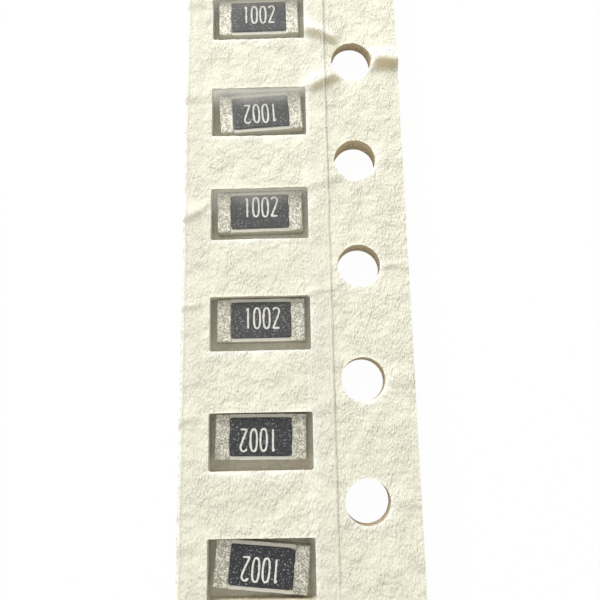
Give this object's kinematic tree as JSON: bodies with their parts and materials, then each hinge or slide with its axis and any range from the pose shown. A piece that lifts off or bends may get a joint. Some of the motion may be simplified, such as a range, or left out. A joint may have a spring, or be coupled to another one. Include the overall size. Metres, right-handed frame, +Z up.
{
  "type": "component carrier tape strip",
  "caption": "Cut strip of punched paper carrier tape with chip resistors in its pockets under a clear sealed cover film.",
  "frame": {"origin": "middle of the strip's box, on the surface that it lies on", "axes": "+X across the tape towards the edge with the sprocket holes, +Y along the tape, +Z up through the cover film"},
  "size_m": [0.008, 0.024, 0.0009],
  "materials": {
    "carrier_paper": "matte",
    "bottom_tape": "matte",
    "cover_film": "gloss",
    "alumina": "matte",
    "resistive_film": "satin",
    "overcoat": "satin",
    "tin_plating": "satin"
  },
  "bodies": {
    "root": {"carrier_tape": "carrier_paper", "bottom_tape": "bottom_tape", "cover_tape": "cover_film", "chip_1_substrate": "alumina", "chip_1_resistive_element": "resistive_film", "chip_1_overcoat": "overcoat", "chip_1_termination_left": "tin_plating", "chip_1_termination_right": "tin_plating", "chip_2_substrate": "alumina", "chip_2_resistive_element": "resistive_film", "chip_2_overcoat": "overcoat", "chip_2_termination_left": "tin_plating", "chip_2_termination_right": "tin_plating", "chip_3_substrate": "alumina", "chip_3_resistive_element": "resistive_film", "chip_3_overcoat": "overcoat", "chip_3_termination_left": "tin_plating", "chip_3_termination_right": "tin_plating", "chip_4_substrate": "alumina", "chip_4_resistive_element": "resistive_film", "chip_4_overcoat": "overcoat", "chip_4_termination_left": "tin_plating", "chip_4_termination_right": "tin_plating", "chip_5_substrate": "alumina", "chip_5_resistive_element": "resistive_film", "chip_5_overcoat": "overcoat", "chip_5_termination_left": "tin_plating", "chip_5_termination_right": "tin_plating", "chip_6_substrate": "alumina", "chip_6_resistive_element": "resistive_film", "chip_6_overcoat": "overcoat", "chip_6_termination_left": "tin_plating", "chip_6_termination_right": "tin_plating"}
  },
  "joints": []
}
